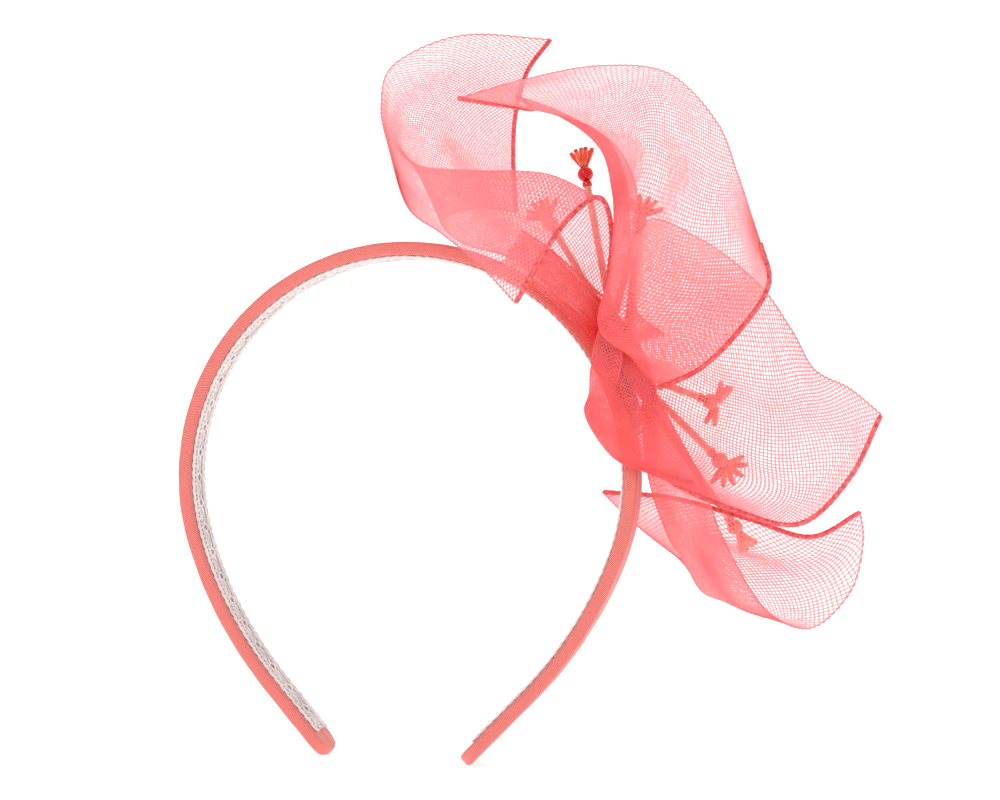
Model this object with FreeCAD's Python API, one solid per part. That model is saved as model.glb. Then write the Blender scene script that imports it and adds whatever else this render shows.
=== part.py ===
import FreeCAD, Part
import math
import os

# Hair band trimmed with loops of crinoline braid and beaded stamens.
# Millimetres.  The band lies in the XZ plane: +Z up through its crown, +X towards
# the trimmed side, +Y towards the back of the trim.  The origin is the centre of
# the round crown, so it is also the centre of the head the band grips.

V = FreeCAD.Vector

# ---- driving dimensions ------------------------------------------------------

CROWN_R = 68.0            # outer radius of the round crown
CROWN_DROP = 19.7         # degrees the crown's arc runs below the widest line
LEG_R = 119.0             # outer radius of the flatter leg arc
LEG_END = 42.5            # degrees at which a leg turns straight
LEG_STRAIGHT = 25.0       # length of the straight end of a leg

RIBBON_T = 0.6            # ribbon cover thickness
BAND_T = 3.9              # covered band, outside to inside
BAND_W = 13.0             # covered band, front to back
LINING_T = 1.0            # lining braid thickness
LINING_W = 10.0           # lining braid width
LINING_SHORT = 5.0        # lining stops this far before the leg's end
EDGE_ROUND = 1.0          # rounding of the covered band's long edges
APEX_GAP = 0.3            # clearance between the two halves at the crown

BASE_R = CROWN_R + 0.05   # the oval base lies on the cover
BASE_T = 1.6
BASE_ANGLE = 32.0         # degrees up from +X to the middle of the trim
BASE_HALF_LENGTH = 22.0
BASE_HALF_WIDTH = 13.5
BASE_SHIFT = 3.5          # the base sits a little towards the back

KNOT_HALF = (19.0, 11.5, 6.0)   # gathered roots: along the band, front to back, out
KNOT_RADIUS = 71.0              # distance of its middle from the crown's centre

STITCH_R = 0.35
STITCH_ANGLES = (53.0, 45.0, 21.0, 13.0)

CRIN_T = 0.6              # crinoline braid, as a solid sheet
HEM_R = 0.8               # rolled binding on each cut end
SPANS = 3                 # grid steps between two control points

WIRE_R = 0.4              # stamen wire
STEM_R = 1.1              # long glass bugle on the wire
STEM_BORE = 0.55
BEAD_R = 2.4              # round bead under the fan
COLLAR_R = 1.5            # small bead between stem and round bead
COLLAR_L = 1.8
STEM_START = 3.0          # bare wire below the stem
FAN_LENGTH = 6.2          # bugles fanned out at the tip
FAN_BEAD_R = 1.0
FAN_SPREAD = (-40.0, -20.0, 0.0, 20.0, 40.0)
SOCKET_R = 1.6            # clearance round each wire where it leaves the knot
SOCKET_DEPTH = 3.0

# ---- control points of the four crinoline strips -----------------------------
# One row for each station along a strip; the points in a row run across it.

# Loop over the crown: an inverted trough at the front, opening into a back leaf.
UPPER_LOOP = [
    [(35, -26, 50), (46, -22, 71), (55, -12, 81), (58, -4, 70), (56, -6, 44)],
    [(24, -27, 61), (30, -22, 75), (39, -8, 88), (44, 2, 73), (45, -11, 53)],
    [(13, -24, 69), (14, -20, 78), (18, -4, 89), (23, 9, 78), (29, -2, 64)],
    [(1, -16, 77), (-1, -12, 85), (0, 6, 91), (1, 24, 86), (9, 22, 70)],
    [(-7, -8, 94), (-10, 4, 98), (-10, 20, 97), (-8, 36, 91), (-2, 40, 78)],
    [(-12, 0, 108), (-13, 16, 108), (-12, 32, 105), (-7, 46, 96), (0, 52, 82)],
    [(-10, 6, 121), (-10, 22, 116), (-7, 36, 110), (-2, 50, 99), (6, 58, 84)],
    [(8, 14, 131), (4, 28, 124), (3, 40, 113), (6, 52, 99), (11, 60, 84)],
    [(34, 20, 131), (25, 32, 123), (20, 42, 111), (18, 52, 98), (18, 60, 83)],
]

# Arch from a folded tip over the top and down to its other end at the front.
CROWN_ARCH = [
    [(16, -22, 107), (20, -8, 108), (25, 6, 109), (30, 18, 110), (22, 32, 116)],
    [(36, -26, 112), (36, -10, 112), (38, 4, 109), (41, 14, 106), (36, 32, 111)],
    [(56, -24, 116), (55, -8, 113), (54, 4, 107), (52, 7, 97), (52, 28, 102)],
    [(74, -18, 115), (70, -6, 110), (64, 2, 100), (57, -2, 85), (60, 20, 91)],
    [(87, -10, 103), (79, -2, 96), (69, -2, 86), (59, -9, 75), (63, 12, 79)],
    [(93, -6, 89), (84, -2, 80), (73, -6, 69), (59, -11, 61), (62, 6, 64)],
    [(97, -4, 78), (95, -4, 64), (83, -12, 52), (59, -15, 43), (61, -5, 42.5)],
    [(100, -4, 70), (103, -8, 58), (96, -14, 45), (86, -18, 34), (74, -14, 28)],
]

# Leaf that rises behind the arch and falls to the side, with a lobe over the band.
SIDE_LEAF = [
    [(60, 13, 45), (61, 9, 43), (62, 4, 41), (63, -1, 39), (63, -5, 37), (63, -7, 35)],
    [(63, 26, 77), (65, 18, 64), (66, 6, 51), (62, -6, 40), (55, -10, 35), (61, -8, 34)],
    [(80, 24, 73), (80, 13, 57), (76, 0, 42), (66, -11, 32), (54, -11, 26), (61, -8, 27)],
    [(98, 16, 60), (94, 10, 43), (85, 0, 29), (71, -13, 21), (53, -11, 21), (61, -8, 20)],
    [(109, 10, 46), (104, 13, 30), (94, 6, 17), (77, -10, 12), (56, -11, 15), (64, -8, 12)],
    [(116, 4, 35), (114, 8, 21), (103, 6, 7), (84, -8, 5), (62, -11, 8), (70, -8, 7)],
    [(126, 0, 30), (125, 2, 14), (112, -2, -1), (90, -10, 0), (69, -10, 5), (76, -7, 4)],
    [(135, -4, 23), (127, -6, 5), (114, -8, -8), (96, -10, -5), (78, -9, 2), (84, -6, 2)],
]

# Loop that drops from the base in front and comes up wide behind the band.
LOWER_LOOP = [
    [(70, 5, 28), (70, 2, 27), (70, -1, 26), (69, -3, 25), (68, -4, 23)],
    [(85, -1, 4), (81, -4, 4), (76, -4, 3), (73, -1, 2), (70, 5, 2)],
    [(92, 0, -13), (88, -5, -13), (84, -6, -14), (80, -2, -15), (76, 6, -14)],
    [(104, 6, -33), (99, -1, -33), (93, -2, -31), (86, 4, -29), (80, 12, -21)],
    [(117, 14, -39), (107, 14, -34), (95, 15, -28), (84, 18, -23), (73, 20, -18)],
    [(128, 17, -28), (113, 19, -26), (97, 20, -21), (81, 23, -16), (64, 24, -12)],
    [(131, 15, -14), (117, 19, -20), (98, 22, -17), (77, 25, -10), (58, 25, -7)],
    [(130, 13, -5), (116, 18, -13), (98, 22, -9), (75, 26, -4), (54, 24, -3)],
]

# ---- stamens: where the wire leaves the knot, and its round bead --------------

STAMENS = [
    ((57, 9, 48), (46, 20, 91)),
    ((56, 13, 47), (36, 20, 76)),
    ((58, 6, 48), (63, 17, 77)),
    ((69, 6, 31), (86, 14, 25)),
    ((68, 9, 28), (89, 17, 8)),
    ((67, 13, 25), (93, 32, -12)),
]


# ---- small helpers ----------------------------------------------------------

def save(shape, node):
    """Write one solid as parts/NODE.step, with its volume printed."""
    solid = shape.Solids[0] if shape.ShapeType != "Solid" else shape
    if len(shape.Solids) != 1 or not solid.isValid() or solid.Volume <= 0:
        print("CHECK", node, len(shape.Solids), solid.isValid())
    solid.exportStep("parts/" + node + ".step")
    print("%-26s %9.1f mm3" % (node, solid.Volume))


def blend_point(p0, p1, p2, p3, t):
    """Point at t between p1 and p2 on a smooth curve through all four."""
    a = p1 * 2.0
    b = (p2 - p0) * t
    c = (p0 * 2.0 - p1 * 5.0 + p2 * 4.0 - p3) * (t * t)
    d = (p1 * 3.0 - p0 - p2 * 3.0 + p3) * (t * t * t)
    return (a + b + c + d) * 0.5


def smooth_row(points, spans):
    """Points on a smooth curve through the given ones, spans steps between each."""
    first = points[0] * 2.0 - points[1]
    last = points[-1] * 2.0 - points[-2]
    padded = [first] + list(points) + [last]
    out = []
    for k in range(len(points) - 1):
        for step in range(spans):
            out.append(blend_point(*padded[k:k + 4], step / spans))
    out.append(points[-1])
    return out


def smooth_grid(rows, spans):
    """The control rows, made finer both across and along."""
    fine_rows = [smooth_row([V(*p) for p in row], spans) for row in rows]
    columns = [smooth_row(list(column), spans) for column in zip(*fine_rows)]
    return [list(row) for row in zip(*columns)]


def grid_normal(grid, i, j):
    """Unit normal of a grid of points."""
    rows = len(grid) - 1
    cols = len(grid[0]) - 1
    along = grid[min(i + 1, rows)][j] - grid[max(i - 1, 0)][j]
    across = grid[i][min(j + 1, cols)] - grid[i][max(j - 1, 0)]
    return along.cross(across).normalize()


# ---- band -------------------------------------------------------------------

def leg_centre():
    a = math.radians(CROWN_DROP)
    out = CROWN_R - LEG_R
    return V(out * math.cos(a), 0, -out * math.sin(a))


def polar(centre, radius, degrees):
    a = math.radians(degrees)
    return centre + V(radius * math.cos(a), 0, radius * math.sin(a))


def leg_end(depth, side, back=0.0):
    """End of a leg's straight run, at a depth below the outer surface."""
    a = math.radians(LEG_END)
    run = LEG_STRAIGHT - back
    p = polar(leg_centre(), LEG_R - depth, -LEG_END)
    p += V(-math.sin(a), 0, -math.cos(a)) * run
    return V(side * p.x, 0, p.z)


def half_edges(depth, side, back):
    """Edges of one half's outline at a depth, from the crown down to the leg's end."""
    o = V(0, 0, 0)
    c = leg_centre()
    r = CROWN_R - depth
    top = 90.0 - math.degrees(math.asin(APEX_GAP / 2.0 / r))
    mid = (top - CROWN_DROP) / 2.0
    leg_mid = -(CROWN_DROP + LEG_END) / 2.0
    points = [polar(o, r, top), polar(o, r, mid), polar(o, r, -CROWN_DROP),
              polar(c, LEG_R - depth, leg_mid), polar(c, LEG_R - depth, -LEG_END)]
    points = [V(side * p.x, 0, p.z) for p in points]
    end = leg_end(depth, side, back)
    return [Part.Arc(*points[:3]).toShape(), Part.Arc(*points[2:]).toShape(),
            Part.makeLine(points[4], end)], points[0], end


def band_half(side, depth_out, depth_in, width, back, rounding):
    """Half of a bent strip between two depths; a rounded leg end if rounding > 0."""
    outer, outer_top, outer_end = half_edges(depth_out, side, back)
    inner, inner_top, inner_end = half_edges(depth_in, side, back)
    if rounding > 0:
        a = math.radians(LEG_END)
        down = V(-side * math.sin(a), 0, -math.cos(a))
        bulge = (outer_end + inner_end) * 0.5 + down * (depth_in - depth_out) / 2.0
        tip = Part.Arc(outer_end, bulge, inner_end).toShape()
    else:
        tip = Part.makeLine(outer_end, inner_end)
    wire = Part.Wire(Part.__sortEdges__(
        outer + [tip] + inner + [Part.makeLine(inner_top, outer_top)]))
    solid = Part.Face(wire).extrude(V(0, width, 0))
    solid.translate(V(0, -width / 2.0, 0))
    if rounding > 0:
        long_edges = [e for e in solid.Edges
                      if abs(abs(e.CenterOfMass.y) - width / 2.0) < 1e-6
                      and e.Length > depth_in]
        solid = solid.makeFillet(rounding, long_edges)
        solid = solid.common(leg_outline(side, width, depth_in - depth_out))
    return solid


def leg_outline(side, width, thickness):
    """Everything above a leg's end, closed by a full round in the strip's plane."""
    a = math.radians(LEG_END)
    up = V(side * math.sin(a), 0, math.cos(a))
    out = V(side * math.cos(a), 0, -math.sin(a))
    reach = 400.0
    middle = leg_end(BAND_T / 2.0, side) + up * ((width - thickness) / 2.0)
    corner = middle - out * reach - V(0, width / 2.0, 0)
    face = Part.Face(Part.makePolygon([corner, corner + out * 2 * reach,
                                       corner + out * 2 * reach + V(0, width, 0),
                                       corner + V(0, width, 0), corner]))
    block = face.extrude(up * reach)
    round_end = Part.makeCylinder(width / 2.0, 20.0, middle - out * 10.0, out)
    return block.fuse(round_end)


def make_band():
    """Core, ribbon cover and lining of the plain half, mirrored for the other half."""
    core_w = BAND_W - 2 * RIBBON_T
    skin = band_half(-1.0, 0.0, BAND_T, BAND_W, 0.0, EDGE_ROUND)
    core = band_half(-1.0, RIBBON_T, BAND_T - RIBBON_T, core_w, 0.0, EDGE_ROUND - RIBBON_T)
    lining = band_half(-1.0, BAND_T, BAND_T + LINING_T, LINING_W, LINING_SHORT, 0.0)
    pieces = (("band_core_", core), ("ribbon_cover_", skin.cut(core)), ("lining_braid_", lining))
    for name, piece in pieces:
        save(piece, name + "plain_side")
        save(piece.mirror(V(0, 0, 0), V(1, 0, 0)), name + "trim_side")


# ---- base, knot and stitches --------------------------------------------------

def base_frame():
    a = math.radians(BASE_ANGLE)
    return V(math.cos(a), 0, math.sin(a)), V(-math.sin(a), 0, math.cos(a))


def make_base():
    out, along = base_frame()
    ring = Part.makeCylinder(BASE_R + BASE_T, 60, V(0, -30, 0), V(0, 1, 0))
    ring = ring.cut(Part.makeCylinder(BASE_R, 60, V(0, -30, 0), V(0, 1, 0)))
    middle = out * 40.0 + V(0, BASE_SHIFT, 0)
    oval = Part.Ellipse(middle + along * BASE_HALF_LENGTH,
                        middle + V(0, BASE_HALF_WIDTH, 0), middle)
    prism = Part.Face(Part.Wire([oval.toShape()])).extrude(out * 60.0)
    save(ring.common(prism), "base_felt")


def make_knot():
    out, along = base_frame()
    half_l, half_w, half_h = KNOT_HALF
    ball = Part.makeSphere(1.0)
    middle = out * KNOT_RADIUS + V(0, BASE_SHIFT, 0)
    place = FreeCAD.Matrix(along.x * half_l, 0, out.x * half_h, middle.x,
                           0, half_w, 0, middle.y,
                           along.z * half_l, 0, out.z * half_h, middle.z,
                           0, 0, 0, 1)
    knot = ball.transformGeometry(place)
    knot = knot.cut(Part.makeCylinder(BASE_R + BASE_T, 60, V(0, -30, 0), V(0, 1, 0)))
    for root, head in STAMENS:
        start = V(*root)
        axis = (V(*head) - start).normalize()
        knot = knot.cut(Part.makeCylinder(SOCKET_R, 30, start - axis * SOCKET_DEPTH, axis))
    save(knot, "gather_knot")


def make_stitches():
    """Thread staples over the base, ending on the ribbon's sides."""
    for number, degrees in enumerate(STITCH_ANGLES, 1):
        a = math.radians(degrees)
        out = V(math.cos(a), 0, math.sin(a))
        y = BAND_W / 2.0 + STITCH_R
        low = CROWN_R - 1.5
        high = BASE_R + BASE_T + STITCH_R
        bend = 1.2
        front = -y
        back = y
        corner = bend * (1 - math.sqrt(0.5))
        p = [out * low + V(0, front, 0), out * (high - bend) + V(0, front, 0),
             out * (high - corner) + V(0, front + corner, 0), out * high + V(0, front + bend, 0),
             out * high + V(0, back - bend, 0), out * (high - corner) + V(0, back - corner, 0),
             out * (high - bend) + V(0, back, 0), out * low + V(0, back, 0)]
        path = Part.Wire([Part.makeLine(p[0], p[1]), Part.Arc(*p[1:4]).toShape(),
                          Part.makeLine(p[3], p[4]), Part.Arc(*p[4:7]).toShape(),
                          Part.makeLine(p[6], p[7])])
        section = Part.Wire([Part.makeCircle(STITCH_R, p[0], out)])
        save(path.makePipeShell([section], True, False), "stitch_%d" % number)


# ---- crinoline ----------------------------------------------------------------

def clamped_knots(count):
    """Knots and multiplicities of a cubic curve with this many poles."""
    inner = count - 4
    return list(range(inner + 2)), [4] + [1] * inner + [4]


def smooth_surface(points):
    """Cubic surface with a grid of points as its poles."""
    u_knots, u_mults = clamped_knots(len(points))
    v_knots, v_mults = clamped_knots(len(points[0]))
    surface = Part.BSplineSurface()
    surface.buildFromPolesMultsKnots(points, u_mults, v_mults, u_knots, v_knots,
                                     False, False, 3, 3)
    return surface


def make_strip(rows, node):
    """Strip of crinoline: a smooth surface through the rows, thickened both ways."""
    grid = smooth_grid(rows, SPANS)
    faces = []
    for way in (1.0, -1.0):
        points = [[p + grid_normal(grid, i, j) * (way * CRIN_T / 2.0)
                   for j, p in enumerate(row)] for i, row in enumerate(grid)]
        faces.append(smooth_surface(points))
    top, bottom = faces
    u0, u1, v0, v1 = top.bounds()
    sides = []
    for pick in (lambda s: s.uIso(u0), lambda s: s.uIso(u1),
                 lambda s: s.vIso(v0), lambda s: s.vIso(v1)):
        sides.append(Part.makeRuledSurface(pick(top).toShape(), pick(bottom).toShape(), 1))
    shell = Part.makeShell([top.toShape(), bottom.toShape()] + sides)
    shell.sewShape()
    shell = Part.Shell(shell.Faces)
    if Part.makeSolid(shell).Volume < 0:
        shell.reverse()
    save(Part.makeSolid(shell), node)


def make_hem(row, node):
    """Rolled binding round a strip's cut end."""
    line = smooth_row([V(*p) for p in row], SPANS)
    rings = []
    side = V(0, 0, 1)
    for k, p in enumerate(line):
        tangent = (line[min(k + 1, len(line) - 1)] - line[max(k - 1, 0)]).normalize()
        side = (side - tangent * side.dot(tangent)).normalize()
        circle = Part.Circle(p, tangent, HEM_R)
        circle.XAxis = side
        rings.append(Part.Wire([circle.toShape()]))
    save(Part.makeLoft(rings, True, True), node)


# ---- stamens ------------------------------------------------------------------

def make_stamen(number, root, head):
    """Wire, long glass bugle, collar bead, round bead and a fan of bugles."""
    start = V(*root)
    bead = V(*head)
    axis = (bead - start).normalize()
    length = (bead - start).Length
    name = "stamen_%d_" % number
    dip = SOCKET_DEPTH - 0.5
    save(Part.makeCylinder(WIRE_R, length + dip, start - axis * dip, axis), name + "wire")
    stem_low = start + axis * STEM_START
    stem_length = length - STEM_START - BEAD_R - COLLAR_L
    stem = Part.makeCylinder(STEM_R, stem_length, stem_low, axis)
    stem = stem.cut(Part.makeCylinder(STEM_BORE, stem_length, stem_low, axis))
    save(stem, name + "stem")
    bore = Part.makeCylinder(STEM_BORE, length, start, axis)
    collar = Part.makeCylinder(COLLAR_R, COLLAR_L, stem_low + axis * stem_length, axis)
    collar = collar.makeFillet(COLLAR_L * 0.35, collar.Edges)
    save(collar.cut(bore), name + "collar")
    round_bead = Part.makeSphere(BEAD_R, bead, axis, -90, 90, 360)
    save(round_bead.cut(bore), name + "bead")
    side = axis.cross(V(0, 1, 0)).normalize()
    fan_root = bead + axis * (BEAD_R + FAN_BEAD_R * 0.9)
    fan = Part.makeSphere(FAN_BEAD_R * 1.1, fan_root)
    for degrees in FAN_SPREAD:
        a = math.radians(degrees)
        way = axis * math.cos(a) + side * math.sin(a)
        fan = fan.fuse(Part.makeCylinder(FAN_BEAD_R, FAN_LENGTH, fan_root, way))
    save(fan, name + "fan")


# ---- build --------------------------------------------------------------------

os.makedirs("parts", exist_ok=True)

make_band()
make_base()
make_knot()
make_stitches()

make_strip(UPPER_LOOP, "crin_upper_loop")
make_strip(CROWN_ARCH, "crin_crown_arch")
make_strip(SIDE_LEAF, "crin_side_leaf")
make_strip(LOWER_LOOP, "crin_lower_loop")
make_hem(UPPER_LOOP[0], "hem_upper_mouth")
make_hem(UPPER_LOOP[-1], "hem_upper_leaf")
make_hem(CROWN_ARCH[0], "hem_arch_tip")
make_hem(CROWN_ARCH[-1], "hem_arch_front")
make_hem(SIDE_LEAF[-1], "hem_side_leaf")
make_hem(LOWER_LOOP[-1], "hem_lower_loop")

for index, (root_point, head_point) in enumerate(STAMENS, 1):
    make_stamen(index, root_point, head_point)
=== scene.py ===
import math

import bpy
import numpy as np
from mathutils import Matrix, Vector


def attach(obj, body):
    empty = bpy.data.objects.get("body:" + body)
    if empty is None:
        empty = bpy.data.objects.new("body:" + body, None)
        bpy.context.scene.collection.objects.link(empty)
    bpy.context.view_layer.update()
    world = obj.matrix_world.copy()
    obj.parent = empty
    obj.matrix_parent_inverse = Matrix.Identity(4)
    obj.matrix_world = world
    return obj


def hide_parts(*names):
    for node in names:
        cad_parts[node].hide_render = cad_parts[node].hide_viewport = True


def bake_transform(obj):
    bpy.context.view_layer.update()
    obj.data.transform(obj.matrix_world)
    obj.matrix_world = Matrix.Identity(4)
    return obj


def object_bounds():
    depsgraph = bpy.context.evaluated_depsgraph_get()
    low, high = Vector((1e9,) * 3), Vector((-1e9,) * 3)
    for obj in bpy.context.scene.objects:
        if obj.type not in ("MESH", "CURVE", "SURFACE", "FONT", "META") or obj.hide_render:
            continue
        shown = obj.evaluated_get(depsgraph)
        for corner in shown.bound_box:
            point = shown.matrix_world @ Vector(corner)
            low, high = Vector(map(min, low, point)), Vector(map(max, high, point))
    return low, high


# Looks of the crinoline-trimmed hair band.  Metres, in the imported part's frame:
# +Z up, +X towards the trimmed side, +Y away from the camera.

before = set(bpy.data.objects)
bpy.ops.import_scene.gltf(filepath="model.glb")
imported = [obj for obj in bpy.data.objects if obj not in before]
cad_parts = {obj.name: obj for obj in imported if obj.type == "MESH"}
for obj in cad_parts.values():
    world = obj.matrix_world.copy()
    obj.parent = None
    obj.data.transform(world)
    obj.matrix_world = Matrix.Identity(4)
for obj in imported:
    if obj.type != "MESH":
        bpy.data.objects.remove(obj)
cad_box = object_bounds()
MM = 0.001
random = np.random.default_rng(7)

# ---- sizes that the part fixes ------------------------------------------------

CROWN_R = 68.0 * MM
CROWN_DROP = math.radians(19.7)
LEG_R = 119.0 * MM
LEG_END = math.radians(42.5)
LEG_STRAIGHT = 25.0 * MM
BAND_T = 3.9 * MM
BAND_W = 13.0 * MM
EDGE_ROUND = 1.0 * MM
LINING_W = 10.0 * MM
LINING_SHORT = 5.0 * MM
BASE_T = 1.6 * MM
BASE_ANGLE = math.radians(32.0)
BASE_HALF_LENGTH = 22.0 * MM
BASE_HALF_WIDTH = 13.5 * MM
BASE_SHIFT = 3.5 * MM
# Middle of the painted shade and painted red reflection of the net on the ribbon, round the knot.
TRIM_SHADE_MIDDLE = (0.057, 0.0, 0.036)   # the ribbon is deeper in colour round it
KNOT_HALF = (19.0 * MM, 11.5 * MM, 6.0 * MM)
KNOT_RADIUS = 71.0 * MM
STITCH_ANGLES = (53.0, 45.0, 21.0, 13.0)
BEAD_R = 2.4 * MM
FAN_BEAD_R = 1.0 * MM
FAN_LENGTH = 6.2 * MM
# Angles of the bugles from each stamen's axis, in degrees.
FAN_SPREADS = ((-30.0, -15.0, 0.0, 15.0, 30.0), (-55.0, -32.0, -10.0, 12.0, 34.0, 56.0),
               (-58.0, -34.0, -8.0, 18.0, 42.0, 66.0), (-98.0, -76.0, 66.0, 82.0, 98.0),
               (-78.0, -48.0, -18.0, 14.0, 44.0, 72.0), (-24.0, -8.0, 8.0, 24.0))

# ---- sizes of the detail ------------------------------------------------------

THREAD_PITCH = 0.87 * MM      # crinoline threads, at right angles to them
THREAD_W = 0.48 * MM
THREAD_PACKED = 0.5           # least share of its width where the net is gathered
THREAD_T = 0.1 * MM
THREAD_WEAVE = 0.09 * MM      # how far a thread rises and dips at a crossing
SELVEDGE_R = 0.26 * MM
HEM_R = 0.74 * MM
HEM_STITCH = 2.0 * MM         # length of hem between two stitches
HEM_STEP = 0.2 * MM
HEM_THREAD_R = 0.13 * MM
RIBBON_LAP = 3.0 * MM         # overlap of the ribbon's long edges
RIBBON_STEP = 0.7 * MM
RIBBON_COLUMNS = 64
RIBBON_LAP_RISE = 0.12 * MM
TIP_FOLDS = 7.0 * MM          # how far from a tip the ribbon is creased
RIB_PITCH_MM = 0.52
RIB_SLANT = 0.42
LACE_YARN_R = 0.32 * MM
LACE_LOOP = 2.8 * MM          # length of one loop along the lining's edges
LACE_CORD_R = 0.3 * MM
LACE_CORD_TWIST = 1.1 * MM
LACE_OVAL = 4.0 * MM
GROUND_STEP = 0.8 * MM
GROUND_COLUMNS = 12
FELT_PUCKER = 0.05 * MM
KNOT_CORE = 0.86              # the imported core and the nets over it, as shares of the knot
KNOT_NETS = ((0.92, 0.0), (0.98, 1.9))
KNOT_WRAPS = (0.52, 0.6, 0.68, 0.74, 0.8)
CORE_PLEAT = 0.3 * MM
NET_PLEAT = 0.55 * MM
WRAP_THREAD_R = 0.18 * MM
STITCH_PLY_R = 0.19 * MM
STITCH_TURNS = 13
BUGLE_BORE = 0.35 * MM
SEED_BORE = 0.25 * MM         # the small bead that keeps a bugle on
SEED_LENGTH = 0.85 * MM

# ---- the four crinoline strips: rows of points along each, in millimetres ------

UPPER_LOOP = [
    [(35, -26, 50), (46, -22, 71), (55, -12, 81), (58, -4, 70), (56, -6, 44)],
    [(24, -27, 61), (30, -22, 75), (39, -8, 88), (44, 2, 73), (45, -11, 53)],
    [(13, -24, 69), (14, -20, 78), (18, -4, 89), (23, 9, 78), (29, -2, 64)],
    [(1, -16, 77), (-1, -12, 85), (0, 6, 91), (1, 24, 86), (9, 22, 70)],
    [(-7, -8, 94), (-10, 4, 98), (-10, 20, 97), (-8, 36, 91), (-2, 40, 78)],
    [(-12, 0, 108), (-13, 16, 108), (-12, 32, 105), (-7, 46, 96), (0, 52, 82)],
    [(-10, 6, 121), (-10, 22, 116), (-7, 36, 110), (-2, 50, 99), (6, 58, 84)],
    [(8, 14, 131), (4, 28, 124), (3, 40, 113), (6, 52, 99), (11, 60, 84)],
    [(34, 20, 131), (25, 32, 123), (20, 42, 111), (18, 52, 98), (18, 60, 83)],
]
CROWN_ARCH = [
    [(16, -22, 107), (20, -8, 108), (25, 6, 109), (30, 18, 110), (22, 32, 116)],
    [(36, -26, 112), (36, -10, 112), (38, 4, 109), (41, 14, 106), (36, 32, 111)],
    [(56, -24, 116), (55, -8, 113), (54, 4, 107), (52, 7, 97), (52, 28, 102)],
    [(74, -18, 115), (70, -6, 110), (64, 2, 100), (57, -2, 85), (60, 20, 91)],
    [(87, -10, 103), (79, -2, 96), (69, -2, 86), (59, -9, 75), (63, 12, 79)],
    [(93, -6, 89), (84, -2, 80), (73, -6, 69), (59, -11, 61), (62, 6, 64)],
    [(97, -4, 78), (95, -4, 64), (83, -12, 52), (59, -15, 43), (61, -5, 42.5)],
    [(100, -4, 70), (103, -8, 58), (96, -14, 45), (86, -18, 34), (74, -14, 28)],
]
SIDE_LEAF = [
    [(60, 13, 45), (61, 9, 43), (62, 4, 41), (63, -1, 39), (63, -5, 37), (63, -7, 35)],
    [(63, 26, 77), (65, 18, 64), (66, 6, 51), (62, -6, 40), (55, -10, 35), (61, -8, 34)],
    [(80, 24, 73), (80, 13, 57), (76, 0, 42), (66, -11, 32), (54, -11, 26), (61, -8, 27)],
    [(98, 16, 60), (94, 10, 43), (85, 0, 29), (71, -13, 21), (53, -11, 21), (61, -8, 20)],
    [(109, 10, 46), (104, 13, 30), (94, 6, 17), (77, -10, 12), (56, -11, 15), (64, -8, 12)],
    [(116, 4, 35), (114, 8, 21), (103, 6, 7), (84, -8, 5), (62, -11, 8), (70, -8, 7)],
    [(126, 0, 30), (125, 2, 14), (112, -2, -1), (90, -10, 0), (69, -10, 5), (76, -7, 4)],
    [(135, -4, 23), (127, -6, 5), (114, -8, -8), (96, -10, -5), (78, -9, 2), (84, -6, 2)],
]
LOWER_LOOP = [
    [(70, 5, 28), (70, 2, 27), (70, -1, 26), (69, -3, 25), (68, -4, 23)],
    [(85, -1, 4), (81, -4, 4), (76, -4, 3), (73, -1, 2), (70, 5, 2)],
    [(92, 0, -13), (88, -5, -13), (84, -6, -14), (80, -2, -15), (76, 6, -14)],
    [(104, 6, -33), (99, -1, -33), (93, -2, -31), (86, 4, -29), (80, 12, -21)],
    [(117, 14, -39), (107, 14, -34), (95, 15, -28), (84, 18, -23), (73, 20, -18)],
    [(128, 17, -28), (113, 19, -26), (97, 20, -21), (81, 23, -16), (64, 24, -12)],
    [(131, 15, -14), (117, 19, -20), (98, 22, -17), (77, 25, -10), (58, 25, -7)],
    [(130, 13, -5), (116, 18, -13), (98, 22, -9), (75, 26, -4), (54, 24, -3)],
]
# Net bunched beside the knot, from its root to where it spreads along the band.
ROOT_FAN = [
    [(59, -8, 47), (58, -10, 43), (58, -9, 40)],
    [(56, -7, 49), (55.5, -8, 45.5), (55, -8, 42)],
]
FAN_DEPTHS = (0.0, 1.2, 2.4)

# Upper loop folded back inside its mouth in two layers, down to the band.
INNER_FOLD = [
    [[(56, -8, 51), (56.5, -9, 45), (56, -10, 39)],
     [(50, -8, 57), (50, -9, 52), (49.5, -9, 45.5)],
     [(45, -8, 62), (44, -9, 57), (43, -9, 51.5)],
     [(40, -8, 67), (37, -9, 61.5), (35, -9, 57)],
     [(33, -7, 71), (29, -8, 65), (26.5, -9, 60)]],
    [[(57, -6.5, 53), (56.5, -7.5, 46), (56, -8.5, 40)],
     [(50, -6.5, 59), (50, -7.5, 53), (49.5, -7.5, 46.5)],
     [(44, -6.5, 64), (44, -7.5, 58), (43, -7.5, 52.5)],
     [(39, -6.5, 68), (37, -7.5, 62.5), (35, -7.5, 58)],
     [(32, -5.5, 72), (29, -6.5, 66), (26.5, -7.5, 61)]],
]
# Net of the side leaf turned down over the band above its lobe.
LEAF_TOP = [
    [(58, -12, 48), (60.5, -12, 46), (63.5, -12, 43.5)],
    [(56.5, -11, 44), (59, -11, 41), (63, -11.5, 38.5)],
    [(55, -10, 39.5), (58, -11, 36.5), (63, -12, 34)],
    [(54.5, -10, 34.5), (57.5, -11.5, 31.5), (62, -12.5, 29)],
]
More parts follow.
